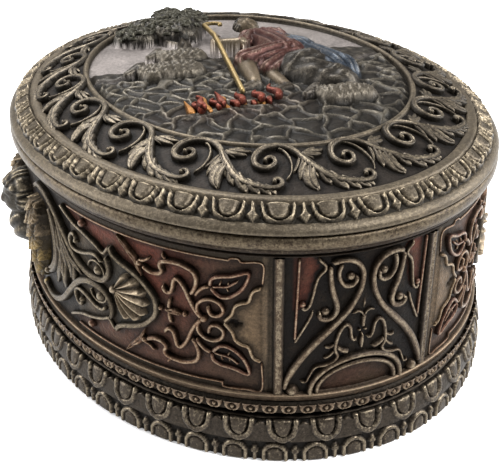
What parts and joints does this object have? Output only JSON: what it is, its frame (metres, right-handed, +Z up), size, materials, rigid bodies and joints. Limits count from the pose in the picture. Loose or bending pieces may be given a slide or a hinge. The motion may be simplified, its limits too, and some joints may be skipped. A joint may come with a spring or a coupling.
{
  "type": "oval rosary box with lift-off lid",
  "caption": "Oval cast keepsake box for a rosary, hollow, with scrolled and panelled walls, an egg-and-dart lid that lifts off and a figure medallion in high relief.",
  "frame": {"origin": "middle of the underside of the foot, on the floor", "axes": "+Z up; the long axis runs along Y; the narrow end with the front panel looks towards -Y; the medallion's figures stand upright towards +Y"},
  "size_m": [0.1088, 0.13, 0.062],
  "materials": {
    "body_bronze": "cold-cast bronze resin, dark antique patina with rubbed highlights and red-brown panels",
    "lid_bronze": "cold-cast bronze resin, dark antique patina with rubbed highlights; medallion tinted red, blue, gold and pale grey"
  },
  "bodies": {
    "root": {"box_body": "body_bronze", "lid": "lid_bronze"}
  },
  "joints": []
}
